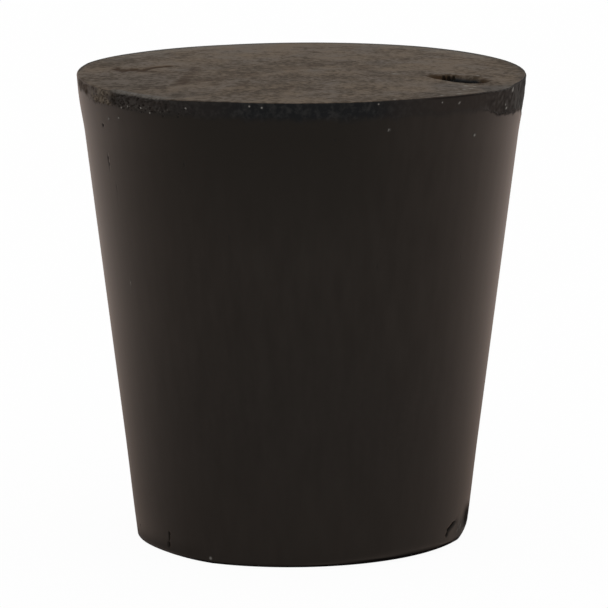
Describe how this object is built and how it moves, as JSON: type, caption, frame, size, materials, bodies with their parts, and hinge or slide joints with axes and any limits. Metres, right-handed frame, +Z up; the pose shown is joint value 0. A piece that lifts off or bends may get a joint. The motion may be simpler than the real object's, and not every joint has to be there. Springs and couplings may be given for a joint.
{
  "type": "rubber stopper",
  "caption": "Solid black rubber stopper: a tapered plug with no hole, standing on its narrow end, pressed into the neck of a laboratory flask, bottle or test tube to close it.",
  "frame": {"origin": "centre of the narrow lower face, on the surface that the stopper stands on", "axes": "+Z up the axis of the taper, from the narrow lower face to the wide top face; +X to the right and -Y to the front, with the gouge in the top face at the right"},
  "size_m": [0.024, 0.024, 0.0252],
  "materials": {
    "rubber": "semi-matt moulded black rubber with a brownish bloom, dustier on the wide top face, rough where the mould flash was trimmed"
  },
  "bodies": {
    "root": {"stopper": "rubber"}
  },
  "joints": []
}
